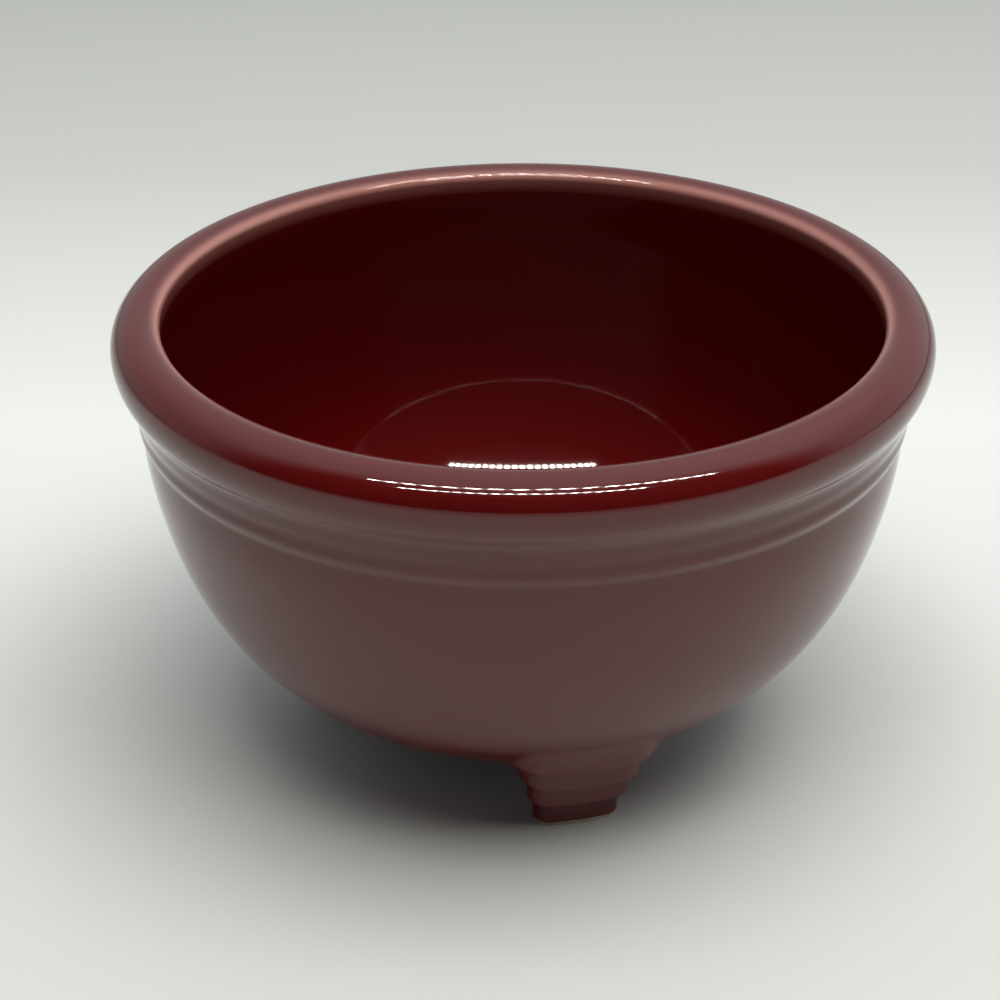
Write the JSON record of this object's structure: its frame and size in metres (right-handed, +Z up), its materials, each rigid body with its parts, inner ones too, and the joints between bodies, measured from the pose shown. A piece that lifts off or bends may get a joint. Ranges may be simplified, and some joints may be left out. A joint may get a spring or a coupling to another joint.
{
  "type": "footed bowl",
  "caption": "Small thick-walled round bowl with a rolled lip and stepped feet, dark red glaze over pale fired clay, for serving food or dips.",
  "frame": {"origin": "on the bowl's axis, on the plane that the three soles stand on", "axes": "+Z up along the bowl's axis, -Y towards the front foot"},
  "size_m": [0.108, 0.108, 0.063],
  "materials": {
    "fired_clay": "bare pale clay fired hard, smooth and matt",
    "luting_clay": "thin layer of the same clay used as glue, fired, hidden",
    "oxblood_glaze": "glossy dark red glaze, thinner and lighter on convex edges"
  },
  "bodies": {
    "root": {"bowl_body": "fired_clay", "foot_front": "fired_clay", "foot_back_right": "fired_clay", "foot_back_left": "fired_clay", "luting_front": "luting_clay", "luting_back_right": "luting_clay", "luting_back_left": "luting_clay", "glaze_coat": "oxblood_glaze"}
  },
  "joints": []
}
